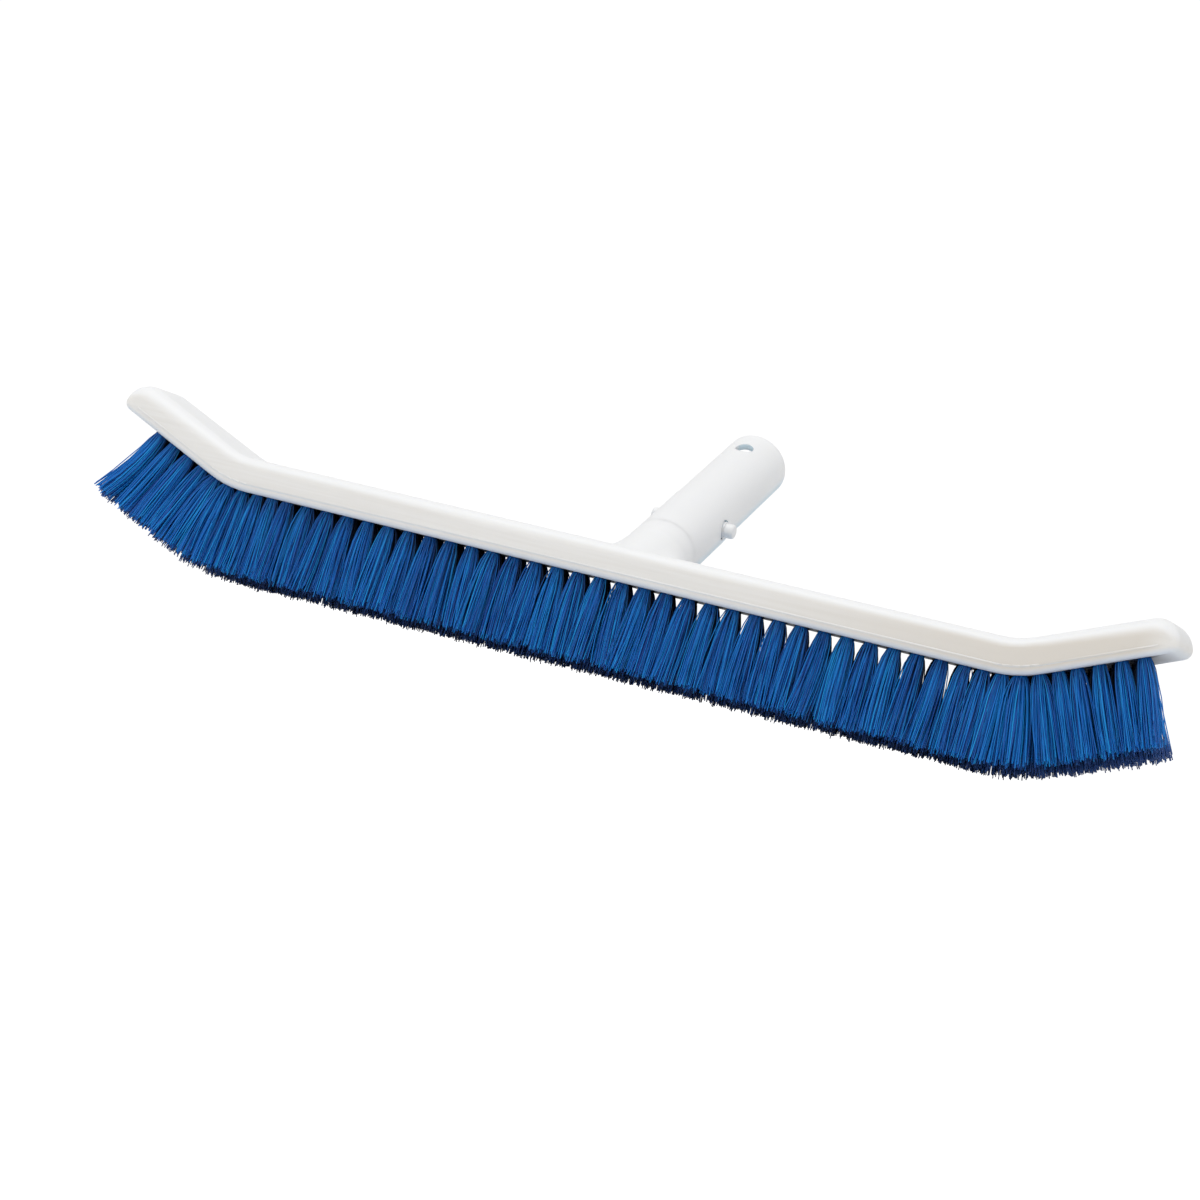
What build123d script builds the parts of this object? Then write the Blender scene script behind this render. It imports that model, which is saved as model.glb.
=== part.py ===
"""Angled-end pool wall brush: a moulded back with a hollow pole stub, bristle tufts held in
drilled holes by flat metal anchors, and a sprung lock clip inside the stub.

Millimetres. X runs along the brush, Y towards the pole, Z up from the bristle tips to the back.
The origin is the middle of the scrubbing face, on the plane of the longest bristle tips.
"""

from build123d import *
from math import atan, ceil, cos, degrees, radians, sin, tan
import os

os.makedirs("parts", exist_ok=True)

# --- Back ---------------------------------------------------------------------------------
overall_length = 457.0
middle_length = 344.0  # between the two bends, along the underside
wing_angle = 22.5
back_width = 34.0
back_height = 14.4
bend_radius = 48.0  # on the underside, the outside of each bend
end_top_radius = 9.0
end_bottom_radius = 4.0
edge_radius = 2.5
seam_height = 3.0  # of the mould parting line above the underside
seam_width = 0.7
seam_proud = 0.25
seam_inset = 8.0  # of the parting line's ends from the ends of the back

# --- Bristles -----------------------------------------------------------------------------
bristle_length = 38.0  # inner rows, from the underside to the tips
outer_row_trim = 3.0  # the outer rows are cut this much shorter
row_names = ["front_outer", "front_inner", "rear_inner", "rear_outer"]
row_spacing = 7.7
outer_row_lean = 8.0  # degrees away from upright, the inner rows leaning in proportion
middle_pitch = 9.525
wing_pitch = 8.4
bend_margin = 12.0  # the close pitch starts this far before a bend
bend_overlap = 6.0  # and ends at least this far past it
end_margin = 14.5  # of the last tuft's place from the end of the underside
hole_radius = 2.4
hole_floor = 3.6  # solid plastic left above each blind hole
shank_clearance = 0.05
shank_end_gap = 0.2
tip_gap = 0.2  # between neighbouring tips where the pitch is closest

# --- Tuft anchors -------------------------------------------------------------------------
anchor_height = 1.6
anchor_thickness = 0.5
anchor_bite = 0.35  # how far each end cuts into the wall of its hole
anchor_setback = 1.4  # of the anchor from the folded end of the tuft
anchor_wall = 0.32  # of plastic between the closest anchors, in a bend, where their holes converge

# --- Pole stub ----------------------------------------------------------------------------
stub_angle = 30.0  # above the plane of the back
stub_radius = 14.3
stub_wall = 2.6
seat_step = 0.2  # the stretch that centres the pole's end is this much larger in radius
seat_margin = 6.0  # of that stretch past the lock buttons
stub_offset = 39.0  # from the middle of the back to where the stub's axis meets its top plane
button_setback = 40.5  # of the lock buttons from that point, along the stub
button_inset = 69.5  # of the lock buttons from the mouth of the stub
stub_root = 45.0  # how far the neck's cylinder runs back, into the back
neck_width = 36.0  # of the flare where the stub's neck leaves the back
neck_corner = 5.0
neck_floor = 1.8  # of the neck's underside above the underside of the back
neck_inset = 0.4  # of the flare from the top of the back and from the neck's underside
mouth_radius = 1.0
hanging_hole_radius = 4.0
hanging_hole_inset = 15.5

# --- Lock clip ----------------------------------------------------------------------------
button_radius = 3.1
button_stand = 4.4  # how far a button stands out of the stub's seat
button_dome = 1.2
collar_lip = 0.5
collar_stand = 0.4
collar_clearance = 0.7
clip_width = 9.0
clip_thickness = 2.2
clip_wall_gap = 0.3
clip_reach = 36.0  # from an arm's pivot to its button
clip_tail = 6.5  # of each arm past its button
clip_spread = 6.6  # of each pivot from the stub's axis
clip_pivot_clearance = 0.1
clip_lip_setback = 0.5

# --- Worked out ---------------------------------------------------------------------------
wing = radians(wing_angle)
underside_z = bristle_length
top_z = underside_z + back_height
half_middle = middle_length / 2
rounded_off = end_bottom_radius * (cos(wing) + sin(wing) - 1)
wing_length = (overall_length / 2 + rounded_off - half_middle) / cos(wing)
bend_start = half_middle - bend_radius * tan(wing / 2)
bend_end = bend_start + bend_radius * wing

slope = radians(stub_angle)
bore_radius = stub_radius - stub_wall
seat_radius = stub_radius + seat_step
collar_radius = button_radius + collar_lip
stub_plane = Plane(
    origin=(0, stub_offset, top_z),
    x_dir=(1, 0, 0),
    z_dir=(0, cos(slope), sin(slope)),
)
clip_plane = Plane(
    origin=stub_plane.origin,
    x_dir=(1, 0, 0),
    z_dir=(0, -sin(slope), cos(slope)),
)
neck_plane = Plane(
    origin=(0, back_width / 2 - edge_radius, underside_z + (back_height + neck_floor) / 2),
    x_dir=(-1, 0, 0),
    z_dir=(0, 1, 0),
)
stub_length = button_setback + button_inset
pivot_at = button_setback - clip_reach
bend_outer = clip_spread + clip_thickness / 2
bend_inner = clip_spread - clip_thickness / 2
bore_end = pivot_at - bend_outer
arm_length = clip_reach + clip_tail
tail_outer = (bore_radius**2 - (clip_width / 2) ** 2) ** 0.5 - clip_wall_gap
arm_lean = atan((tail_outer - clip_thickness / 2 - clip_spread) / arm_length)

hole_depth = back_height - hole_floor
shank_length = hole_depth - shank_end_gap
anchor_depth = shank_length - anchor_setback
anchor_length = 2 * (hole_radius + anchor_bite)
bend_pitch = (anchor_length + anchor_wall) / (1 - anchor_depth / bend_radius)
middle_tufts = int((bend_start - bend_margin) / middle_pitch + 0.5)  # on each half
last_middle = (middle_tufts - 0.5) * middle_pitch
bend_tufts = ceil((bend_end + bend_overlap - last_middle) / bend_pitch)
last_bend = last_middle + bend_tufts * bend_pitch
underside_end = bend_end + wing_length - bend_radius * tan(wing / 2)
wing_tufts = int((underside_end - end_margin - last_bend) / wing_pitch)
row_stagger = middle_pitch / len(row_names)
outer_row_y = row_spacing * (len(row_names) - 1) / 2
tip_radius = bend_pitch / 2 - tip_gap
breakout = 1.0  # how far each cutting tool runs past the surface it opens


def band(low, high, inset=0.0):
    """The outline, seen from the front, of a strip between two heights above the underside."""

    def corner(height):
        return (half_middle - height * tan(wing / 2), underside_z + height)

    def wing_end(height):
        along = wing_length - inset
        x = half_middle + along * cos(wing) - height * sin(wing)
        z = underside_z + along * sin(wing) + height * cos(wing)
        return (x, z)

    right = [corner(low), wing_end(low), wing_end(high), corner(high)]
    left = [(-x, z) for x, z in reversed(right)]
    with BuildSketch(Plane.XZ) as strip:
        with BuildLine():
            Polyline(*right, *left, close=True)
        make_face()
        bends = strip.vertices().filter_by(lambda v: abs(v.X) < half_middle + low + 0.1)
        fillet(bends.group_by(Axis.Z)[0], bend_radius - low)
        fillet(bends.group_by(Axis.Z)[-1], bend_radius - high)
    return strip.sketch


def tuft_plane(along, row):
    """Where a tuft leaves the underside, its Z pointing down the tuft to the tips."""
    side = 1 if along > 0 else -1
    reach = abs(along)
    turned = min(max(reach - bend_start, 0) / bend_radius, wing)
    straight = min(reach, bend_start)
    past = max(reach - bend_end, 0)
    x = straight + bend_radius * sin(turned) + past * cos(turned)
    z = underside_z + bend_radius * (1 - cos(turned)) + past * sin(turned)
    y = row * row_spacing - outer_row_y
    lean = radians(outer_row_lean * y / outer_row_y)
    tilt = side * turned
    return Plane(
        origin=(side * x, y, z),
        x_dir=(cos(tilt), 0, sin(tilt)),
        z_dir=(sin(tilt) * cos(lean), sin(lean), -cos(tilt) * cos(lean)),
    )


def stations(section, row):
    """Distances along the underside, from the middle, of one row's tufts in one section."""
    shift = -(row - (len(row_names) - 1) / 2) * row_stagger
    middle = [(i + 0.5) * middle_pitch for i in range(-middle_tufts, middle_tufts)]
    bend = [last_middle + (i + 1) * bend_pitch for i in range(bend_tufts)]
    end = [last_bend + (i + 1) * wing_pitch for i in range(wing_tufts)]
    placed = {
        "left_wing": [-s for s in bend + end],
        "middle": middle,
        "right_wing": bend + end,
    }
    return [s + shift for s in placed[section]]


sections = ["left_wing", "middle", "right_wing"]
tuft_planes = {
    (row, section): [tuft_plane(s, row) for s in stations(section, row)]
    for row in range(len(row_names))
    for section in sections
}

# The angled back before its holes are drilled, with the mould's parting line standing proud.
with BuildPart() as blank:
    extrude(band(0, back_height), amount=back_width / 2, both=True)
    ends = blank.edges().filter_by(Axis.Y)
    ends = ends.filter_by(lambda e: abs(e.center().X) > half_middle + wing_length / 2)
    lower_ends = ends.group_by(Axis.Z)[0]
    upper_ends = ends.group_by(Axis.Z)[-1]
    fillet(upper_ends, end_top_radius)
    fillet(lower_ends, end_bottom_radius)
    fillet(blank.faces().filter_by(Axis.Y).edges(), edge_radius)
    seam_top = seam_height + seam_width
    extrude(band(seam_height, seam_top, seam_inset), amount=back_width / 2 + seam_proud, both=True)

# The back, drilled with a blind hole for each tuft.
with BuildPart() as brush_back:
    add(blank.part)
    for planes in tuft_planes.values():
        with Locations(*[plane.offset(breakout) for plane in planes]):
            Cylinder(
                hole_radius,
                hole_depth + breakout,
                align=(Align.CENTER, Align.CENTER, Align.MAX),
                mode=Mode.SUBTRACT,
            )
brush_back.part.label = "brush_back"
export_step(brush_back.part, "parts/brush_back.step")

# The neck flares from the round stub into the rear of the back, and its upper half runs on over
# the back's top edge. It is one moulding with the back and the stub, kept as a solid of its own
# that touches both.
with BuildPart() as stub_neck:
    with BuildSketch(stub_plane.offset(-stub_root)):
        Circle(seat_radius)
    extrude(amount=stub_root)
    with BuildSketch(Plane.XY.offset(underside_z + back_height / 2)):
        Rectangle(2 * neck_width, 2 * (stub_offset + stub_root))
    extrude(amount=-2 * stub_root, mode=Mode.SUBTRACT)
    with BuildSketch(neck_plane):
        RectangleRounded(neck_width, back_height - neck_floor - 2 * neck_inset, neck_corner)
    with BuildSketch(stub_plane):
        Circle(seat_radius)
    loft()
    add(blank.part, mode=Mode.SUBTRACT)
    with BuildSketch(stub_plane.offset(bore_end)):
        Circle(bore_radius)
    extrude(amount=-bore_end, mode=Mode.SUBTRACT)
stub_neck.part.label = "stub_neck"
export_step(stub_neck.part, "parts/stub_neck.step")

# The hollow stub that a pole slides over: a slightly larger seat next to the neck, a hole for
# each lock button and a pair of holes near the mouth to hang the brush by.
with BuildPart() as pole_stub:
    with BuildSketch(stub_plane):
        Circle(stub_radius)
    extrude(amount=stub_length)
    mouth = pole_stub.faces().sort_by(Axis(stub_plane.origin, stub_plane.z_dir))[-1]
    fillet(mouth.edges(), mouth_radius)
    with BuildSketch(stub_plane):
        Circle(seat_radius)
    extrude(amount=button_setback + seat_margin)
    with BuildSketch(stub_plane):
        Circle(bore_radius)
    extrude(amount=stub_length, mode=Mode.SUBTRACT)
    with BuildSketch(Plane(origin=stub_plane.from_local_coords((0, 0, button_setback)), z_dir=(1, 0, 0))):
        Circle(collar_radius + collar_clearance)
    extrude(amount=seat_radius + breakout, both=True, mode=Mode.SUBTRACT)
    hanging_at = stub_plane.from_local_coords((0, 0, stub_length - hanging_hole_inset))
    with BuildSketch(Plane(origin=hanging_at, z_dir=clip_plane.z_dir)):
        Circle(hanging_hole_radius)
    extrude(amount=seat_radius + breakout, both=True, mode=Mode.SUBTRACT)
pole_stub.part.label = "pole_stub"
export_step(pole_stub.part, "parts/pole_stub.step")

# Each tuft is a folded bundle of filaments: a round shank in its hole, split around the anchor
# that holds it, and a free end that spreads towards the tips.
for (row, section), planes in tuft_planes.items():
    y = row * row_spacing - outer_row_y
    lean = radians(outer_row_lean * y / outer_row_y)
    outermost = abs(y) > outer_row_y - row_spacing / 2
    height = bristle_length - (outer_row_trim if outermost else 0)
    free_length = (height - tip_radius * abs(sin(lean))) / cos(lean)
    with BuildPart() as tufts:
        with Locations(*planes):
            Cylinder(
                hole_radius - shank_clearance,
                shank_length,
                align=(Align.CENTER, Align.CENTER, Align.MAX),
            )
            Cone(
                hole_radius - shank_clearance,
                tip_radius,
                free_length,
                align=(Align.CENTER, Align.CENTER, Align.MIN),
            )
        with Locations(*[plane.offset(-anchor_depth) for plane in planes]):
            Box(
                2 * hole_radius,
                anchor_thickness,
                anchor_height,
                align=(Align.CENTER, Align.CENTER, Align.MIN),
                mode=Mode.SUBTRACT,
            )
    name = f"tufts_{row_names[row]}_{section}"
    tufts.part.label = name
    export_step(tufts.part, f"parts/{name}.step")

    # The flat strips of wire that pin those tufts, driven across the blind ends of the holes.
    with BuildPart() as anchors:
        with Locations(*[plane.offset(-anchor_depth) for plane in planes]):
            Box(
                anchor_length,
                anchor_thickness,
                anchor_height,
                align=(Align.CENTER, Align.CENTER, Align.MIN),
            )
    name = f"anchors_{row_names[row]}_{section}"
    anchors.part.label = name
    export_step(anchors.part, f"parts/{name}.step")

# The clip's bend lies against the blind end of the stub's bore and joins its two arms.
with BuildPart() as clip_bend:
    with BuildSketch(clip_plane):
        with Locations((0, pivot_at)):
            Circle(bend_outer)
            Circle(bend_inner, mode=Mode.SUBTRACT)
        with Locations((0, pivot_at - clip_lip_setback)):
            Rectangle(
                4 * bend_outer, 2 * bend_outer, align=(Align.CENTER, Align.MIN), mode=Mode.SUBTRACT
            )
        with Locations((clip_spread, pivot_at), (-clip_spread, pivot_at)):
            Circle(clip_thickness / 2 + clip_pivot_clearance, mode=Mode.SUBTRACT)
    extrude(amount=clip_width / 2, both=True)
clip_bend.part.label = "clip_bend"
export_step(clip_bend.part, "parts/clip_bend.step")

# A sprung arm of the clip, with the lock button that snaps out through the stub's wall.
for side, name in ((1, "clip_arm_right"), (-1, "clip_arm_left")):
    across = Plane(
        origin=stub_plane.from_local_coords((0, 0, button_setback)),
        x_dir=(0, cos(slope), sin(slope)),
        z_dir=(side, 0, 0),
    )
    arm_middle = clip_spread + clip_reach * tan(arm_lean)
    with BuildPart() as clip_arm:
        with BuildSketch(clip_plane):
            with Locations(Location((side * clip_spread, pivot_at), -side * degrees(arm_lean))):
                SlotCenterPoint((0, arm_length / 2), (0, arm_length), clip_thickness)
        extrude(amount=clip_width / 2, both=True)
        with BuildSketch(across.offset(arm_middle)):
            Circle(collar_radius)
        extrude(amount=seat_radius + collar_stand - arm_middle)
        with BuildSketch(across.offset(arm_middle)):
            Circle(button_radius)
        extrude(amount=seat_radius + button_stand - arm_middle)
        dome = clip_arm.faces().sort_by(Axis((0, 0, 0), (side, 0, 0)))[-1]
        fillet(dome.edges(), button_dome)
    clip_arm.part.label = name
    export_step(clip_arm.part, f"parts/{name}.step")
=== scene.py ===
"""Angled-end pool wall brush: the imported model, finished for a close look.

Metres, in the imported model's own frame: X along the brush, Y towards the pole, Z up from the tips.
"""

import bmesh
import bpy
import math
import random
from mathutils import Matrix, Vector


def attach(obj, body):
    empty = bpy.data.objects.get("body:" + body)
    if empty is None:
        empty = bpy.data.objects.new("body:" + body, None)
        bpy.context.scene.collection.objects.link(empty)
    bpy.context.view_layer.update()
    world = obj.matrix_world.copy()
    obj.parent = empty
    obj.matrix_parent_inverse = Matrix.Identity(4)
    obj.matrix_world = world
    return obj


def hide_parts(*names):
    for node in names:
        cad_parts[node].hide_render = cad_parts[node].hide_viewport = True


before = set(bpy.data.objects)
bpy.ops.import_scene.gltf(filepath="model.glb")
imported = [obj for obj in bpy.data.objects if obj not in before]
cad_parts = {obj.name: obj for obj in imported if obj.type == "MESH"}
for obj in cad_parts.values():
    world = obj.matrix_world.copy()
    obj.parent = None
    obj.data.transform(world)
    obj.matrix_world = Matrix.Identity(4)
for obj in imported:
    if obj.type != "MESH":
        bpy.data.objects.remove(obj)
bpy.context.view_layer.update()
body = "brush"

# --- Moulded back and stub --------------------------------------------------------------------
# The back and the hollow stub are one moulding of white polypropylene, straight from the tool:
# satin, with a faint flow grain. The top edges of the back are broadly rounded, more so towards
# its ends, and the lower edges only a little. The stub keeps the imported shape.


def link(tree, start, end):
    tree.links.new(start, end)


def add_node(tree, kind, values=(), **settings):
    """A node of one kind, with its settings, and its inputs by name or place."""
    made = tree.nodes.new(kind)
    for key, value in settings.items():
        setattr(made, key, value)
    for key, value in dict(values).items():
        if isinstance(value, bpy.types.NodeSocket):
            tree.links.new(value, made.inputs[key])
        else:
            made.inputs[key].default_value = value
    return made


def mixed_colour(tree, share, first, second):
    """A colour between two, by a share from 0 to 1."""
    made = add_node(tree, "ShaderNodeMix", {0: share}, data_type="RGBA")
    for place, value in ((6, first), (7, second)):
        if isinstance(value, bpy.types.NodeSocket):
            link(tree, value, made.inputs[place])
        else:
            made.inputs[place].default_value = value
    return made.outputs[2]


def moulded_surface_group():
    """Flow marks, satin grain and scuffs, with masks for a darker end and for the way a face points,
    which the plastics use for painted light and shade.
    """
    group = bpy.data.node_groups.new("moulded_surface", "ShaderNodeTree")
    for name, kind, value in (
        ("Flow Direction", "NodeSocketVector", (12.0, 160.0, 160.0)),
        ("Grain Scale", "NodeSocketFloat", 2600.0),
        ("Scuff Scale", "NodeSocketFloat", 300.0),
        ("Scuff Amount", "NodeSocketFloat", 0.3),
        ("Fully Under", "NodeSocketFloat", -0.8),
    ):
        socket = group.interface.new_socket(name, in_out="INPUT", socket_type=kind)
        socket.default_value = value
    for name in ("Flow", "Scuff", "Height", "Upward", "Downward", "End Tint"):
        group.interface.new_socket(name, in_out="OUTPUT", socket_type="NodeSocketFloat")
    given = add_node(group, "NodeGroupInput")
    coordinates = add_node(group, "ShaderNodeTexCoord").outputs
    place = coordinates["Object"]
    rise = add_node(group, "ShaderNodeSeparateXYZ", {0: coordinates["Normal"]}).outputs["Z"]
    facing = [
        add_node(
            group,
            "ShaderNodeMapRange",
            {"Value": rise, "From Min": low, "From Max": high},
            interpolation_type="SMOOTHSTEP",
        ).outputs["Result"]
        for low, high in ((0.05, 0.65), (-0.02, given.outputs["Fully Under"]))
    ]
    length_way = add_node(group, "ShaderNodeSeparateXYZ", {0: place}).outputs["X"]
    # Darker and a little warmer towards the +X end, though not on that end's own face.
    end_tint, at_end = [
        add_node(
            group,
            "ShaderNodeMapRange",
            {"Value": length_way, "From Min": low, "From Max": high},
            interpolation_type="SMOOTHSTEP",
        ).outputs["Result"]
        for low, high in ((0.02, 0.2), (0.212, 0.228))
    ]
    end_tint = add_node(
        group, "ShaderNodeMath", {0: end_tint, 1: at_end}, operation="SUBTRACT", use_clamp=True
    ).outputs[0]
    along = add_node(
        group,
        "ShaderNodeVectorMath",
        {0: place, 1: given.outputs["Flow Direction"]},
        operation="MULTIPLY",
    ).outputs[0]
    flow = add_node(
        group, "ShaderNodeTexNoise", {"Vector": along, "Scale": 1.0, "Detail": 4.0, "Roughness": 0.55}
    ).outputs["Fac"]
    grain = add_node(
        group,
        "ShaderNodeTexNoise",
        {"Vector": place, "Scale": given.outputs["Grain Scale"], "Detail": 2.0},
    ).outputs["Fac"]
    scuffs = add_node(
        group,
        "ShaderNodeTexNoise",
        {
            "Vector": place,
            "Scale": given.outputs["Scuff Scale"],
            "Detail": 6.0,
            "Roughness": 0.7,
            "Distortion": 1.4,
        },
    ).outputs["Fac"]
    picked = add_node(
        group,
        "ShaderNodeMapRange",
        {"Value": scuffs, "From Min": 0.6, "From Max": 0.72},
        interpolation_type="SMOOTHSTEP",
    ).outputs["Result"]
    scuff = add_node(
        group, "ShaderNodeMath", {0: picked, 1: given.outputs["Scuff Amount"]}, operation="MULTIPLY"
    ).outputs[0]
    raised = add_node(
        group, "ShaderNodeMath", {0: flow, 1: 0.6, 2: grain}, operation="MULTIPLY_ADD"
    ).outputs[0]
    height = add_node(
        group, "ShaderNodeMath", {0: scuff, 1: -0.5, 2: raised}, operation="MULTIPLY_ADD"
    ).outputs[0]
    out = add_node(group, "NodeGroupOutput")
    link(group, flow, out.inputs["Flow"])
    link(group, scuff, out.inputs["Scuff"])
    link(group, height, out.inputs["Height"])
    link(group, facing[0], out.inputs["Upward"])
    link(group, facing[1], out.inputs["Downward"])
    link(group, end_tint, out.inputs["End Tint"])
    return group


moulded_surface = moulded_surface_group()


def moulded_plastic(name, light, shade, upper, lower, under, end_tint, roughness, flow, scuff_amount):
    """Satin moulded plastic, its tint varied by flow marks and towards one end, with painted light on
    faces that point up and painted shade on faces that point down.
    """
    material = bpy.data.materials.new(name)
    material.use_nodes = True
    tree = material.node_tree
    plastic = tree.nodes["Principled BSDF"]
    surface = add_node(tree, "ShaderNodeGroup", node_tree=moulded_surface)
    surface.inputs["Flow Direction"].default_value = flow
    surface.inputs["Scuff Amount"].default_value = scuff_amount
    surface.inputs["Fully Under"].default_value = under
    tint = add_node(
        tree,
        "ShaderNodeMapRange",
        {"Value": surface.outputs["Flow"], "From Min": 0.35, "From Max": 0.68},
    ).outputs["Result"]
    colour = mixed_colour(tree, tint, shade, light)
    colour = mixed_colour(tree, surface.outputs["End Tint"], colour, end_tint)
    # Painted light on faces that point up, which take the paler upper colour; painted bluish shade on
    # faces that point down, which take the lower one.
    colour = mixed_colour(tree, surface.outputs["Upward"], colour, upper)
    colour = mixed_colour(tree, surface.outputs["Downward"], colour, lower)
    # Painted shade: where the back is marked among the tufts it goes near black.
    shade_among_tufts = add_node(tree, "ShaderNodeAttribute", attribute_name="shade_among_tufts").outputs["Fac"]
    colour = mixed_colour(tree, shade_among_tufts, colour, (0.03, 0.045, 0.09, 1.0))
    dull = add_node(
        tree,
        "ShaderNodeMapRange",
        {
            "Value": surface.outputs["Scuff"],
            "From Max": 0.5,
            "To Min": roughness,
            "To Max": roughness + 0.22,
        },
    ).outputs["Result"]
    bump = add_node(
        tree,
        "ShaderNodeBump",
        {"Height": surface.outputs["Height"], "Strength": 0.12, "Distance": 0.00012},
    )
    link(tree, colour, plastic.inputs["Base Color"])
    link(tree, dull, plastic.inputs["Roughness"])
    link(tree, bump.outputs["Normal"], plastic.inputs["Normal"])
    plastic.inputs["Specular IOR Level"].default_value = 0.42
    plastic.inputs["Subsurface Weight"].default_value = 0.4
    plastic.inputs["Subsurface Radius"].default_value = (1.0, 0.98, 0.92)
    plastic.inputs["Subsurface Scale"].default_value = 0.004
    return material


def paint(node, material):
    """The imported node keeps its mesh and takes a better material."""
    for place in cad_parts[node].material_slots:
        place.material = material


# In each plastic, upper is painted light for faces that point up and lower is painted bluish shade for
# faces that point down.
back_white = moulded_plastic(
    "moulded_back",
    light=(0.86, 0.85, 0.83, 1.0),
    shade=(0.81, 0.795, 0.765, 1.0),
    upper=(0.87, 0.875, 0.88, 1.0),
    lower=(0.80, 0.85, 0.90, 1.0),
    under=-0.8,
    end_tint=(0.74, 0.70, 0.64, 1.0),
    roughness=0.42,
    flow=(14.0, 170.0, 420.0),
    scuff_amount=0.25,
)
stub_white = moulded_plastic(
    "moulded_stub",
    light=(0.90, 0.905, 0.905, 1.0),
    shade=(0.85, 0.86, 0.87, 1.0),
    upper=(0.88, 0.885, 0.89, 1.0),
    lower=(0.72, 0.86, 0.97, 1.0),
    under=-0.4,
    end_tint=(0.85, 0.85, 0.84, 1.0),
    roughness=0.38,
    flow=(170.0, 30.0, 60.0),
    scuff_amount=0.3,
)
paint("pole_stub", stub_white)

back_half_width = 0.017
back_low = 0.038
back_high = 0.0524
back_height = back_high - back_low
packed_edge = 0.0025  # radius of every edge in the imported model
top_edge = 0.005  # radius of the top edges along the middle
end_edge = 0.0075  # and at the tips of the wings
end_face_edge = 0.0035  # radius round each end face
end_top_radius = 0.009  # of an end's upper corner, seen from the front
end_bottom_radius = 0.004
tuft_zone = 0.0142  # from the middle to just past the rims of the outer tuft holes
wing = math.radians(22.5)
bend_radius = 0.048
half_middle = 0.172  # from the middle to where the undersides of middle and wing would meet
bend_start = half_middle - bend_radius * math.tan(wing / 2)
bend_end = bend_start + bend_radius * wing


def along_back(x, z):
    """A point's distance along the underside, its height above it, and the tilt there."""
    reach = abs(x)
    sweep = math.atan2(reach - bend_start, back_low + bend_radius - z)
    if reach < bend_start:
        return reach, z - back_low, 0.0
    if sweep < wing:
        deep = math.hypot(reach - bend_start, back_low + bend_radius - z)
        return bend_start + bend_radius * sweep, bend_radius - deep, sweep
    dx = reach - bend_start - bend_radius * math.sin(wing)
    dz = z - back_low - bend_radius * (1 - math.cos(wing))
    past = dx * math.cos(wing) + dz * math.sin(wing)
    return bend_end + past, dz * math.cos(wing) - dx * math.sin(wing), wing


def rim_of(s, h, back_end):
    """How deep a point lies below the outline of the back's sides, and the way out of it."""
    point = Vector((s, h))
    top_arm = point - Vector((back_end - end_top_radius, back_height - end_top_radius))
    if top_arm.x > 0 and top_arm.y > 0 and top_arm.length > 1e-6:
        return end_top_radius - top_arm.length, top_arm.normalized()
    bottom_arm = point - Vector((back_end - end_bottom_radius, end_bottom_radius))
    if bottom_arm.x > 0 and bottom_arm.y < 0 and bottom_arm.length > 1e-6:
        return end_bottom_radius - bottom_arm.length, bottom_arm.normalized()
    sides = (
        (back_height - h, Vector((0.0, 1.0))),
        (h, Vector((0.0, -1.0))),
        (back_end - s, Vector((1.0, 0.0))),
    )
    return min(sides, key=lambda side: side[0])


def softened_back():
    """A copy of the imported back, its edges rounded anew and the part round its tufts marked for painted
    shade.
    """
    work = bmesh.new()
    work.from_mesh(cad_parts["brush_back"].data)
    bmesh.ops.remove_doubles(work, verts=work.verts, dist=2e-6)
    back_end = max(along_back(v.co.x, v.co.z)[0] for v in work.verts)
    shade_among_tufts = work.verts.layers.float.new("shade_among_tufts")
    for v in work.verts:
        s, h, tilt = along_back(v.co.x, v.co.z)
        among_tufts = abs(v.co.y) < tuft_zone and s < back_end - end_top_radius
        # Marked for painted shade: the underside and the hole walls among the tufts.
        v[shade_among_tufts] = float(among_tufts and h < back_height - packed_edge)
        beyond = abs(v.co.y) - (back_half_width - packed_edge)
        deep, way = rim_of(s, h, back_end)
        if beyond < -1e-6 or beyond > packed_edge + 1e-5 or deep > packed_edge + 1e-5:
            continue
        bent = math.atan2(max(beyond, 0.0), max(packed_edge - deep, 0.0))
        share = min(max((s - bend_end) / (back_end - end_top_radius - bend_end), 0.0), 1.0)
        upper = top_edge + (end_edge - top_edge) * share
        if way.y >= 0:
            radius = end_face_edge + (upper - end_face_edge) * way.y
        else:
            radius = end_face_edge + (end_face_edge - packed_edge) * way.y
        side = math.copysign(1.0, v.co.x)
        outwards = side * (way.x * math.cos(tilt) - way.y * math.sin(tilt))
        upwards = way.x * math.sin(tilt) + way.y * math.cos(tilt)
        move = deep - radius * (1 - math.cos(bent))
        v.co += Vector((outwards, 0.0, upwards)) * move
        width = back_half_width - radius * (1 - math.sin(bent))
        v.co.y = math.copysign(width, v.co.y)
    mesh = bpy.data.meshes.new("moulded_back")
    work.to_mesh(mesh)
    work.free()
    mesh.shade_smooth()
    mesh.set_sharp_from_angle(angle=math.radians(35))
    back = bpy.data.objects.new("moulded_back", mesh)
    bpy.context.scene.collection.objects.link(back)
    even = back.modifiers.new("flat faces stay flat", "WEIGHTED_NORMAL")
    even.weight, even.keep_sharp = 90, True
    finished = bpy.data.meshes.new_from_object(
        back.evaluated_get(bpy.context.evaluated_depsgraph_get())
    )
    back.modifiers.clear()
    back.data = finished
    finished.name = "moulded_back"
    return back


moulded_back = softened_back()
moulded_back.data.materials.clear()
moulded_back.data.materials.append(back_white)
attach(moulded_back, body)
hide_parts("brush_back")

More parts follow.
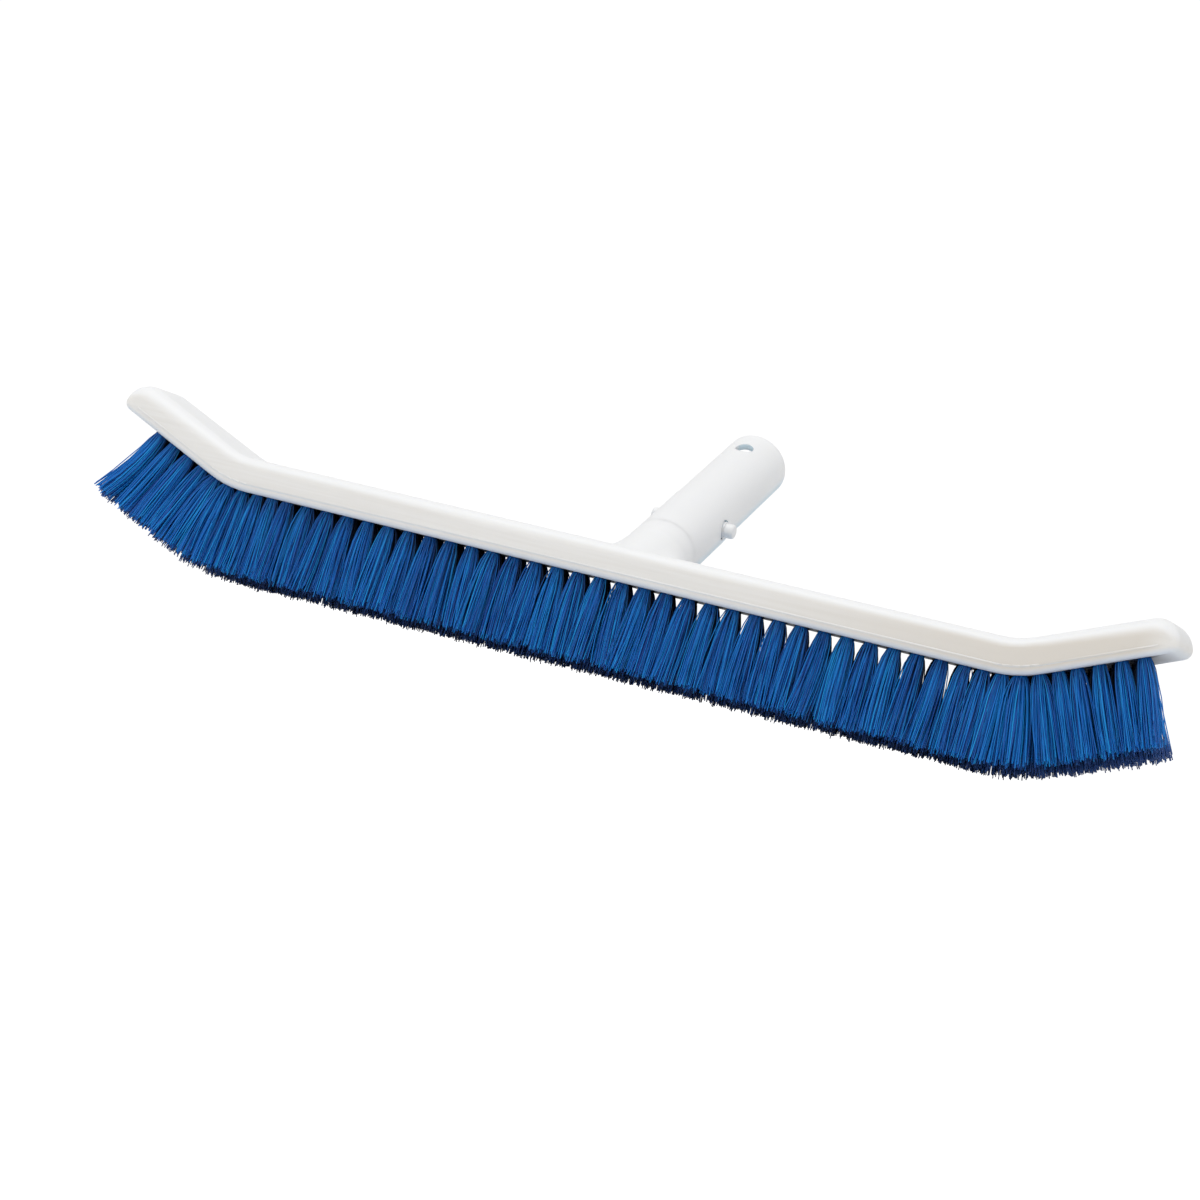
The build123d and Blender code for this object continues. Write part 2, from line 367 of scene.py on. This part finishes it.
# --- Neck -------------------------------------------------------------------------------------
# Where the stub grows out of the back the moulding flares, and every inside corner there is
# rounded so that it doesn't crack under the pole. The flare fades into the back's top and rear
# and into the stub.
stub_angle = math.radians(30.0)
stub_foot = Vector((0.0, 0.039, back_high))
stub_way = Vector((0.0, math.cos(stub_angle), math.sin(stub_angle)))
neck_sleeve = 0.032  # how far the neck's skin runs up the stub, tapering into it
neck_foot_radius = 0.0147
neck_head_radius = 0.0141
slab_length = 0.09  # of the back's stretch that the flare grows from
slab_depth = 0.00012  # of that slab below the back's own skin, so that only the flare shows


def flared_neck():
    """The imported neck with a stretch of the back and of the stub, remeshed and smoothed as one."""
    mesh = bpy.data.meshes.new("moulded_neck")
    work = bmesh.new()
    work.from_mesh(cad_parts["stub_neck"].data)
    bmesh.ops.remove_doubles(work, verts=work.verts, dist=1e-6)
    slab = bmesh.ops.create_cube(work, size=1.0)["verts"]
    slab_width = 2 * (back_half_width - slab_depth)
    size = Matrix.Diagonal((slab_length, slab_width, back_height - 2 * slab_depth, 1.0))
    middle = Matrix.Translation((0.0, 0.0, (back_low + back_high) / 2))
    bmesh.ops.transform(work, matrix=middle @ size, verts=slab)
    edges = {e for v in slab for e in v.link_edges}
    lengthwise = [e for e in edges if abs(e.verts[0].co.x - e.verts[1].co.x) > slab_length / 2]
    upper = [e for e in lengthwise if e.verts[0].co.z > back_low + back_height / 2]
    lower = [e for e in lengthwise if e.verts[0].co.z < back_low + back_height / 2]
    for rim, radius in ((upper, top_edge), (lower, packed_edge)):
        bmesh.ops.bevel(work, geom=rim, offset=radius, segments=8, profile=0.5, affect="EDGES")
    turn = stub_way.to_track_quat("Z", "Y").to_matrix().to_4x4()
    bmesh.ops.create_cone(
        work,
        cap_ends=True,
        segments=96,
        radius1=neck_foot_radius,
        radius2=neck_head_radius,
        depth=neck_sleeve,
        matrix=Matrix.Translation(stub_foot + stub_way * neck_sleeve / 2) @ turn,
    )
    work.to_mesh(mesh)
    work.free()
    neck = bpy.data.objects.new("moulded_neck", mesh)
    bpy.context.scene.collection.objects.link(neck)
    whole = neck.modifiers.new("one skin", "REMESH")
    whole.mode, whole.voxel_size = "VOXEL", 0.0007
    soft = neck.modifiers.new("rounded corners", "SMOOTH")
    soft.factor, soft.iterations = 0.5, 24
    finished = bpy.data.meshes.new_from_object(
        neck.evaluated_get(bpy.context.evaluated_depsgraph_get())
    )
    neck.modifiers.clear()
    neck.data = finished
    finished.name = "moulded_neck"
    return neck


neck = flared_neck()
neck.data.materials.clear()
neck.data.materials.append(stub_white)
neck.data.shade_smooth()
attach(neck, body)
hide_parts("stub_neck")

# --- Lock clip --------------------------------------------------------------------------------
# One bent strip of white acetal with a button near each end. It is pushed into the stub's mouth
# and springs its buttons out through the two side holes. Acetal is harder and a shade cooler
# than the back, with a waxy shine.
# As for the back, upper is painted light above and lower is painted shade below.
clip_white = moulded_plastic(
    "clip_acetal",
    light=(0.84, 0.85, 0.855, 1.0),
    shade=(0.80, 0.81, 0.82, 1.0),
    upper=(0.86, 0.865, 0.87, 1.0),
    lower=(0.74, 0.80, 0.86, 1.0),
    under=-0.8,
    end_tint=(0.82, 0.82, 0.81, 1.0),
    roughness=0.28,
    flow=(120.0, 120.0, 120.0),
    scuff_amount=0.5,
)
for node in ("clip_bend", "clip_arm_left", "clip_arm_right"):
    paint(node, clip_white)

# --- Tuft anchors -----------------------------------------------------------------------------
# Short strips of drawn stainless flat wire, each driven across the fold of a tuft into the
# wall of its blind hole. Drawing leaves fine lines along the wire.


def drawn_wire_material():
    material = bpy.data.materials.new("drawn_wire")
    material.use_nodes = True
    tree = material.node_tree
    steel = tree.nodes["Principled BSDF"]
    place = add_node(tree, "ShaderNodeTexCoord").outputs["Object"]
    stretched = add_node(tree, "ShaderNodeMapping", {"Vector": place, "Scale": (300.0, 9000.0, 9000.0)})
    lines = add_node(
        tree, "ShaderNodeTexNoise", {"Vector": stretched.outputs[0], "Scale": 1.0, "Detail": 3.0}
    ).outputs["Fac"]
    rough = add_node(
        tree, "ShaderNodeMapRange", {"Value": lines, "To Min": 0.22, "To Max": 0.45}
    ).outputs["Result"]
    colour = mixed_colour(tree, lines, (0.48, 0.48, 0.47, 1.0), (0.66, 0.66, 0.64, 1.0))
    bump = add_node(tree, "ShaderNodeBump", {"Height": lines, "Strength": 0.3, "Distance": 0.00005})
    link(tree, rough, steel.inputs["Roughness"])
    link(tree, colour, steel.inputs["Base Color"])
    link(tree, bump.outputs["Normal"], steel.inputs["Normal"])
    steel.inputs["Metallic"].default_value = 1.0
    return material


drawn_wire = drawn_wire_material()
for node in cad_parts:
    if node.startswith("anchors_"):
        paint(node, drawn_wire)

# --- Bristles ---------------------------------------------------------------------------------
# Nylon filaments about half a millimetre thick, blue right through. A bundle of them is folded
# and pinned in each blind hole, leaves it tightly packed and splays until neighbouring tufts
# meet. The inner rows are the longest, so the tips crown along the middle of the brush.
rows = ("front_outer", "front_inner", "rear_inner", "rear_outer")
row_spacing = 0.0077
outer_row_y = row_spacing * (len(rows) - 1) / 2
outer_row_lean = math.radians(8.0)
outer_row_trim = 0.003
bristle_length = 0.038
middle_pitch = 0.009525
bend_pitch = 0.0072
wing_pitch = 0.0084
middle_tufts, bend_tufts, wing_tufts = 16, 6, 3
comb_seed = 40
comb_along = 0.0009  # typical sweep of a tuft's tips along its row
comb_across = 0.0006
flared_tufts = 3  # at the left end lean further outwards
end_flare = 0.0035  # of the first of them
end_flare_fade = 0.001  # less for each one further in


def tuft_places(row):
    """Distances along the underside of one row's tufts, from the left end to the right."""
    half = [(i + 0.5) * middle_pitch for i in range(middle_tufts)]
    half += [half[-1] + (i + 1) * bend_pitch for i in range(bend_tufts)]
    half += [half[-1] + (i + 1) * wing_pitch for i in range(wing_tufts)]
    shift = -(row - (len(rows) - 1) / 2) * middle_pitch / len(rows)
    return [-s + shift for s in reversed(half)] + [s + shift for s in half]


def tuft_frame(along, row):
    """Where a tuft leaves the underside, with its directions along the row and to the tips."""
    side = 1 if along > 0 else -1
    reach = abs(along)
    turned = min(max(reach - bend_start, 0.0) / bend_radius, wing)
    straight = min(reach, bend_start)
    past = max(reach - bend_end, 0.0)
    x = straight + bend_radius * math.sin(turned) + past * math.cos(turned)
    z = bristle_length + bend_radius * (1 - math.cos(turned)) + past * math.sin(turned)
    y = row * row_spacing - outer_row_y
    lean = outer_row_lean * y / outer_row_y
    tilt = side * turned
    across = Vector((math.cos(tilt), 0.0, math.sin(tilt)))
    down = Vector((math.sin(tilt) * math.cos(lean), math.sin(lean), -math.cos(tilt) * math.cos(lean)))
    return Vector((side * x, y, z)), across, down


def tuft_roots(row):
    """One vertex per tuft, carrying its directions, its length and the way it was combed."""
    combed = random.Random(comb_seed + row)
    places = tuft_places(row)
    outer = row in (0, len(rows) - 1)
    mesh = bpy.data.meshes.new("tuft_roots")
    spots = [tuft_frame(s, row) for s in places]
    mesh.from_pydata([spot for spot, _, _ in spots], [], [])
    lean = outer_row_lean if outer else outer_row_lean / 3
    free = (bristle_length - (outer_row_trim if outer else 0.0)) / math.cos(lean)
    tips = [spot + w * free for spot, _, w in spots]
    carried = {"across": [], "down": [], "comb": [], "length": [], "tip_pitch": []}
    for i, (_, u, w) in enumerate(spots):
        near = [(tips[i] - tips[k]).length for k in (i - 1, i + 1) if 0 <= k < len(tips)]
        carried["tip_pitch"].append(sum(near) / len(near))
        swept = comb_along * combed.gauss(0, 1) * u + comb_across * combed.gauss(0, 1) * w.cross(u)
        if i < flared_tufts:
            swept -= (end_flare - end_flare_fade * i) * u
        carried["across"].extend(u)
        carried["down"].extend(w)
        carried["comb"].extend(swept)
        carried["length"].append(free)
    for name, values in carried.items():
        single = name in ("length", "tip_pitch")
        kind, field = ("FLOAT", "value") if single else ("FLOAT_VECTOR", "vector")
        mesh.attributes.new(name, kind, "POINT").data.foreach_set(field, values)
    return mesh


def bristle_tree():
    """Turns each tuft's root into its bundle of curved filaments, as one mesh."""
    tree = bpy.data.node_groups.new("tuft_filaments", "GeometryNodeTree")
    face = tree.interface
    face.new_socket("Roots", in_out="INPUT", socket_type="NodeSocketGeometry")
    for name, kind, value in (
        ("Filaments", "NodeSocketInt", 84),
        ("Thickness", "NodeSocketFloat", 0.0005),
        ("Root Radius", "NodeSocketFloat", 0.00235),
        ("Splay", "NodeSocketFloat", 0.62),
        ("Mouth Flare", "NodeSocketFloat", 0.28),
        ("Buried Length", "NodeSocketFloat", 0.009),
        ("Outer Face", "NodeSocketFloat", 0.0121),
        ("Unevenness", "NodeSocketFloat", 0.06),
        ("Bow", "NodeSocketFloat", 0.0009),
        ("Crimp", "NodeSocketFloat", 0.00016),
        ("Bundle Size", "NodeSocketInt", 6),
        ("Seed", "NodeSocketInt", 1),
    ):
        socket = face.new_socket(name, in_out="INPUT", socket_type=kind)
        socket.default_value = value
    face.new_socket("Material", in_out="INPUT", socket_type="NodeSocketMaterial")
    face.new_socket("Bristles", in_out="OUTPUT", socket_type="NodeSocketGeometry")
    given = add_node(tree, "NodeGroupInput").outputs
    size = {s.name: s for s in given}

    def math_node(operation, a, b=0.0, c=0.0):
        return add_node(tree, "ShaderNodeMath", {0: a, 1: b, 2: c}, operation=operation).outputs[0]

    def vector_node(operation, a, b=(0.0, 0.0, 0.0)):
        made = add_node(tree, "ShaderNodeVectorMath", {0: a, 1: b}, operation=operation)
        return made.outputs[0]

    def times(vector, number):
        made = add_node(tree, "ShaderNodeVectorMath", {0: vector, "Scale": number}, operation="SCALE")
        return made.outputs[0]

    def chance(offset, low, high, ident):
        seed = math_node("ADD", size["Seed"], float(offset))
        made = add_node(tree, "FunctionNodeRandomValue", data_type="FLOAT")
        made.inputs[2].default_value = low
        made.inputs[3].default_value = high
        tree.links.new(ident, made.inputs["ID"])
        tree.links.new(seed, made.inputs["Seed"])
        return made.outputs[1]

    def direction(offset, ident):
        seed = math_node("ADD", size["Seed"], float(offset))
        made = add_node(tree, "FunctionNodeRandomValue", data_type="FLOAT_VECTOR")
        made.inputs[0].default_value = (-1.0, -1.0, -1.0)
        made.inputs[1].default_value = (1.0, 1.0, 1.0)
        tree.links.new(ident, made.inputs["ID"])
        tree.links.new(seed, made.inputs["Seed"])
        return made.outputs[0]

    def stored(name, kind):
        made = add_node(tree, "GeometryNodeInputNamedAttribute", {"Name": name}, data_type=kind)
        return next(o for o in made.outputs if o.enabled and o.name == "Attribute")

    def store(geometry, name, kind, value, domain="POINT"):
        made = add_node(
            tree,
            "GeometryNodeStoreNamedAttribute",
            {"Geometry": geometry, "Name": name},
            data_type=kind,
            domain=domain,
        )
        tree.links.new(value, next(i for i in made.inputs if i.enabled and i.name == "Value"))
        return made.outputs["Geometry"]

    points = add_node(tree, "GeometryNodeMeshToPoints", {"Mesh": size["Roots"]}).outputs["Points"]
    ident = add_node(tree, "GeometryNodeInputIndex").outputs[0]
    points = store(points, "tuft", "INT", ident)
    copies = add_node(
        tree,
        "GeometryNodeDuplicateElements",
        {"Geometry": points, "Amount": size["Filaments"]},
        domain="POINT",
    )
    points = copies.outputs["Geometry"]
    number = copies.outputs["Duplicate Index"]
    points = store(points, "number", "INT", number)
    number = stored("number", "INT")
    tuft = stored("tuft", "INT")
    u = stored("across", "FLOAT_VECTOR")
    w = stored("down", "FLOAT_VECTOR")
    v = vector_node("CROSS_PRODUCT", w, u)
    # A sunflower layout packs the bundle evenly in its round hole.
    golden_angle = 2.39996
    full_turn = 6.28318
    filled = math_node("DIVIDE", math_node("ADD", number, 0.5), size["Filaments"])
    ring = math_node("SQRT", filled)
    turn = math_node("ADD", math_node("MULTIPLY", number, golden_angle), math_node("MULTIPLY", tuft, 1.7))
    rim = vector_node(
        "ADD", times(u, math_node("COSINE", turn)), times(v, math_node("SINE", turn))
    )
    root = times(rim, math_node("MULTIPLY", ring, size["Root Radius"]))
    # Tips gather in small bundles, so several filaments share one target.
    bundle = math_node("FLOOR", math_node("DIVIDE", number, size["Bundle Size"]))
    shared = math_node("ADD", math_node("MULTIPLY", tuft, 97.0), bundle)
    shared_turn = chance(3, 0.0, full_turn, shared)
    shared_ring = math_node("SQRT", chance(4, 0.02, 1.0, shared))
    target = vector_node(
        "ADD", times(u, math_node("COSINE", shared_turn)), times(v, math_node("SINE", shared_turn))
    )
    target = times(target, shared_ring)
    own = times(rim, ring)
    mixed = vector_node("ADD", times(target, 0.35), times(own, 0.75))
    tip = times(mixed, math_node("MULTIPLY", size["Splay"], stored("tip_pitch", "FLOAT")))
    spread = vector_node("SUBTRACT", tip, root)
    short = math_node("POWER", chance(5, 0.0, 1.0, ident), 2.5)
    shared_short = math_node("POWER", chance(6, 0.0, 1.0, shared), 2.0)
    cut = math_node("ADD", math_node("MULTIPLY", short, 0.6), math_node("MULTIPLY", shared_short, 0.5))
    share = math_node("SUBTRACT", 0.985, math_node("MULTIPLY", cut, size["Unevenness"]))
    reach = math_node("MULTIPLY", stored("length", "FLOAT"), share)
    bow = vector_node(
        "ADD", times(direction(7, ident), size["Bow"]), times(direction(8, shared), size["Bow"])
    )
    bow = vector_node("ADD", bow, stored("comb", "FLOAT_VECTOR"))
    place = add_node(tree, "GeometryNodeInputPosition").outputs[0]
    start = vector_node("ADD", place, root)
    points = store(points, "root", "FLOAT_VECTOR", start)
    # How far inside the brush a filament stands, from 0 at its front and rear faces; the material paints
    # shade by it.
    depth = add_node(tree, "ShaderNodeSeparateXYZ", {0: start}).outputs["Y"]
    depth = math_node("SUBTRACT", size["Outer Face"], math_node("ABSOLUTE", depth))
    inside = add_node(tree, "ShaderNodeMapRange", {"Value": depth, "From Max": 0.0018})
    points = store(points, "inside", "FLOAT", inside.outputs["Result"])
    points = store(points, "spread", "FLOAT_VECTOR", spread)
    points = store(points, "bow", "FLOAT_VECTOR", bow)
    points = store(points, "reach", "FLOAT", reach)
    points = store(points, "phase", "FLOAT", chance(9, 0.0, full_turn, ident))
    points = store(points, "crimp_way", "FLOAT_VECTOR", direction(10, ident))
    points = store(points, "tone", "FLOAT", chance(11, 0.0, 1.0, ident))
    points = store(points, "bundle_tone", "FLOAT", chance(12, 0.0, 1.0, shared))
    points = store(points, "tuft_tone", "FLOAT", chance(13, 0.0, 1.0, tuft))

    line = add_node(tree, "GeometryNodeCurvePrimitiveLine")
    steps = 8
    line = add_node(
        tree, "GeometryNodeResampleCurve", {"Curve": line.outputs[0], "Count": steps}
    ).outputs[0]
    curves = add_node(
        tree, "GeometryNodeInstanceOnPoints", {"Points": points, "Instance": line}
    ).outputs[0]
    curves = add_node(tree, "GeometryNodeRealizeInstances", {"Geometry": curves}).outputs[0]
    # The first step of each filament lies in its hole; the rest is the free length.
    index = add_node(tree, "GeometryNodeSplineParameter").outputs["Index"]
    free = math_node("MAXIMUM", math_node("DIVIDE", math_node("SUBTRACT", index, 1.0), steps - 2.0))
    free = math_node("POWER", free, 1.8)
    buried = math_node("MULTIPLY", math_node("LESS_THAN", index, 0.5), size["Buried Length"])
    down = math_node("SUBTRACT", math_node("MULTIPLY", free, stored("reach", "FLOAT")), buried)
    # A bundle swells at once where it leaves its hole, then opens slowly towards the tips.
    left = math_node("SUBTRACT", 1.0, free)
    quick = math_node("SUBTRACT", 1.0, math_node("POWER", left, 16.0))
    slow = math_node("SUBTRACT", 1.0, math_node("POWER", left, 2.6))
    quicker = math_node("MULTIPLY", math_node("SUBTRACT", quick, slow), size["Mouth Flare"])
    opened = math_node("ADD", slow, quicker)
    wave = math_node("ADD", math_node("MULTIPLY", free, 22.0), stored("phase", "FLOAT"))
    wave = math_node("MULTIPLY", math_node("SINE", wave), size["Crimp"])
    wave = math_node("MULTIPLY", wave, math_node("MINIMUM", math_node("MULTIPLY", free, 4.0), 1.0))
    shape = vector_node("ADD", stored("root", "FLOAT_VECTOR"), times(w, down))
    shape = vector_node("ADD", shape, times(stored("spread", "FLOAT_VECTOR"), opened))
    shape = vector_node(
        "ADD", shape, times(stored("bow", "FLOAT_VECTOR"), math_node("POWER", free, 2.0))
    )
    shape = vector_node("ADD", shape, times(stored("crimp_way", "FLOAT_VECTOR"), wave))
    curves = add_node(
        tree, "GeometryNodeSetPosition", {"Geometry": curves, "Position": shape}
    ).outputs[0]
    curves = store(curves, "along", "FLOAT", free)
    outline = add_node(
        tree,
        "GeometryNodeCurvePrimitiveCircle",
        {"Resolution": 3, "Radius": math_node("DIVIDE", size["Thickness"], 2.0)},
    ).outputs[0]
    strands = add_node(
        tree,
        "GeometryNodeCurveToMesh",
        {"Curve": curves, "Profile Curve": outline, "Fill Caps": True},
    ).outputs[0]
    strands = add_node(tree, "GeometryNodeSetShadeSmooth", {"Geometry": strands}).outputs[0]
    strands = add_node(tree, "GeometryNodeRealizeInstances", {"Geometry": strands}).outputs[0]
    strands = add_node(
        tree, "GeometryNodeSetMaterial", {"Geometry": strands, "Material": size["Material"]}
    ).outputs[0]
    out = add_node(tree, "NodeGroupOutput")
    link(tree, strands, out.inputs[0])
    return tree


def filament_material():
    """Blue nylon, each filament and bundle lighter or darker, with painted shade: darker towards the
    roots, and inside the brush near black towards the roots and navy at the tips.
    """
    material = bpy.data.materials.new("blue_nylon")
    material.use_nodes = True
    tree = material.node_tree
    nylon = tree.nodes["Principled BSDF"]

    def read(name):
        made = add_node(tree, "ShaderNodeAttribute", attribute_name=name)
        return made.outputs["Fac"]

    blended = add_node(
        tree,
        "ShaderNodeMath",
        {0: read("bundle_tone"), 1: 0.6, 2: read("tone")},
        operation="MULTIPLY_ADD",
    ).outputs[0]
    blended = add_node(
        tree,
        "ShaderNodeMath",
        {0: read("tuft_tone"), 1: 0.15, 2: blended},
        operation="MULTIPLY_ADD",
    ).outputs[0]
    tone = add_node(
        tree, "ShaderNodeMapRange", {"Value": blended, "From Min": 0.15, "From Max": 1.7}
    ).outputs["Result"]
    blue = add_node(tree, "ShaderNodeValToRGB", {"Fac": tone})
    ramp = blue.color_ramp
    ramp.elements[0].position, ramp.elements[0].color = 0.0, (0.006, 0.068, 0.35, 1.0)
    ramp.elements[1].position, ramp.elements[1].color = 1.0, (0.004, 0.39, 0.85, 1.0)
    middle = ramp.elements.new(0.5)
    middle.color = (0.003, 0.195, 0.67, 1.0)
    # Masks for painted shade along the free length: the root, further from the root among other tufts,
    # the tips.
    masks = [
        add_node(
            tree,
            "ShaderNodeMapRange",
            {"Value": read("along"), "From Min": low, "From Max": high},
            interpolation_type="SMOOTHSTEP",
        ).outputs["Result"]
        for low, high in ((0.3, 0.0), (0.55, 0.1), (0.86, 0.93))
    ]
    root, inner_root_shade, tip = masks
    inside = add_node(
        tree, "ShaderNodeMath", {0: read("inside"), 1: 0.9}, operation="MULTIPLY"
    ).outputs[0]
    inner_root_shade, tip = (
        add_node(tree, "ShaderNodeMath", {0: mask, 1: inside}, operation="MULTIPLY").outputs[0]
        for mask in (inner_root_shade, tip)
    )
    root = add_node(tree, "ShaderNodeMath", {0: root, 1: 0.5}, operation="MULTIPLY").outputs[0]
    # Painted shade: darker blue at every root, near black further down inside the brush, navy at the tips
    # inside it.
    colour = mixed_colour(tree, root, blue.outputs["Color"], (0.004, 0.05, 0.22, 1.0))
    colour = mixed_colour(tree, inner_root_shade, colour, (0.005, 0.010, 0.04, 1.0))
    colour = mixed_colour(tree, tip, colour, (0.026, 0.068, 0.25, 1.0))
    rough = add_node(
        tree, "ShaderNodeMapRange", {"Value": read("tone"), "To Min": 0.3, "To Max": 0.5}
    ).outputs["Result"]
    link(tree, colour, nylon.inputs["Base Color"])
    link(tree, rough, nylon.inputs["Roughness"])
    nylon.inputs["Specular IOR Level"].default_value = 0.4
    return material


blue_nylon = filament_material()
bristles = bristle_tree()
sockets = {s.name: s.identifier for s in bristles.interface.items_tree if s.in_out == "INPUT"}
for row, name in enumerate(rows):
    holder = bpy.data.objects.new(f"bristles_{name}", tuft_roots(row))
    bpy.context.scene.collection.objects.link(holder)
    grow = holder.modifiers.new("tufts", "NODES")
    grow.node_group = bristles
    grow[sockets["Seed"]] = 100 * (row + 1)
    grow[sockets["Mouth Flare"]] = 0.28 if row in (0, len(rows) - 1) else 0.36
    grow[sockets["Material"]] = blue_nylon
    ready = holder.evaluated_get(bpy.context.evaluated_depsgraph_get())
    grown = bpy.data.meshes.new_from_object(ready)
    holder.modifiers.remove(grow)
    holder.data = grown
    grown.name = f"bristles_{name}"
    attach(holder, body)
    sections = ("left_wing", "middle", "right_wing")
    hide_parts(*[f"tufts_{name}_{section}" for section in sections])

# --- Studio -----------------------------------------------------------------------------------
# A pale floor under the brush, a soft light above and a little in front, a weaker one further
# in front to the right, and a camera almost level with the bristle tips.
floor_reach = 8.0
floor_level = -0.0015  # just below the longest bristle tips
corners = ((-1, -1), (1, -1), (1, 1), (-1, 1))
floor_mesh = bpy.data.meshes.new("floor")
floor_points = [(floor_reach * x, floor_reach * y, floor_level) for x, y in corners]
floor_mesh.from_pydata(floor_points, [], [(0, 1, 2, 3)])
floor = bpy.data.objects.new("floor", floor_mesh)
bpy.context.scene.collection.objects.link(floor)
floor_paint = bpy.data.materials.new("floor_paint")
floor_paint.use_nodes = True
floor_shader = floor_paint.node_tree.nodes["Principled BSDF"]
floor_shader.inputs["Base Color"].default_value = (0.82, 0.82, 0.82, 1.0)
floor_shader.inputs["Roughness"].default_value = 0.9
floor_shader.inputs["Specular IOR Level"].default_value = 0.0
floor_shader.inputs["Emission Color"].default_value = (1.0, 1.0, 1.0, 1.0)
seen = add_node(floor_paint.node_tree, "ShaderNodeLightPath").outputs["Is Camera Ray"]
glow = add_node(
    floor_paint.node_tree, "ShaderNodeMath", {0: seen, 1: 0.55}, operation="MULTIPLY"
).outputs[0]
link(floor_paint.node_tree, glow, floor_shader.inputs["Emission Strength"])
floor.data.materials.append(floor_paint)

world = bpy.data.worlds.new("studio")
world.use_nodes = True
sky = world.node_tree.nodes["Background"]
sky.inputs["Color"].default_value = (1.0, 1.0, 1.0, 1.0)
seen = add_node(world.node_tree, "ShaderNodeLightPath").outputs["Is Camera Ray"]
strength = add_node(
    world.node_tree, "ShaderNodeMapRange", {"Value": seen, "To Min": 0.78, "To Max": 1.05}
).outputs["Result"]
link(world.node_tree, strength, sky.inputs["Strength"])
bpy.context.scene.world = world
bpy.context.scene.view_settings.view_transform = "Standard"


def soft_light(name, place, aim, size, power):
    lamp = bpy.data.lights.new(name, "AREA")
    lamp.shape = "DISK"
    lamp.size = size
    lamp.energy = power
    holder = bpy.data.objects.new(name, lamp)
    holder.location = place
    holder.rotation_euler = (Vector(aim) - Vector(place)).to_track_quat("-Z", "Y").to_euler()
    bpy.context.scene.collection.objects.link(holder)


soft_light("top_light", (-0.4, -0.5, 1.4), (0.0, 0.0, 0.04), 0.9, 5.0)
soft_light("front_light", (0.5, -1.6, 0.5), (0.0, 0.0, 0.03), 0.8, 2.4)

azimuth = math.radians(21.19)
elevation = math.radians(-1.34)
roll = math.radians(14.24)
aim = Vector((-0.00386, 0.0, 0.02973))
camera_distance = 1.21374
level_part = math.cos(elevation)
back = Vector(
    (level_part * math.sin(azimuth), -level_part * math.cos(azimuth), math.sin(elevation))
)
level = Vector((math.cos(azimuth), math.sin(azimuth), 0.0))
upright = back.cross(level)
right = level * math.cos(roll) + upright * math.sin(roll)
up = upright * math.cos(roll) - level * math.sin(roll)
lens = bpy.data.cameras.new("camera")
lens.lens = 90.9
lens.sensor_width = 36.0
lens.clip_start, lens.clip_end = 0.01, 50.0
camera = bpy.data.objects.new("camera", lens)
turned = Matrix((right, up, back)).transposed().to_4x4()
camera.matrix_world = Matrix.Translation(aim + back * camera_distance) @ turned
bpy.context.scene.collection.objects.link(camera)
bpy.context.scene.camera = camera
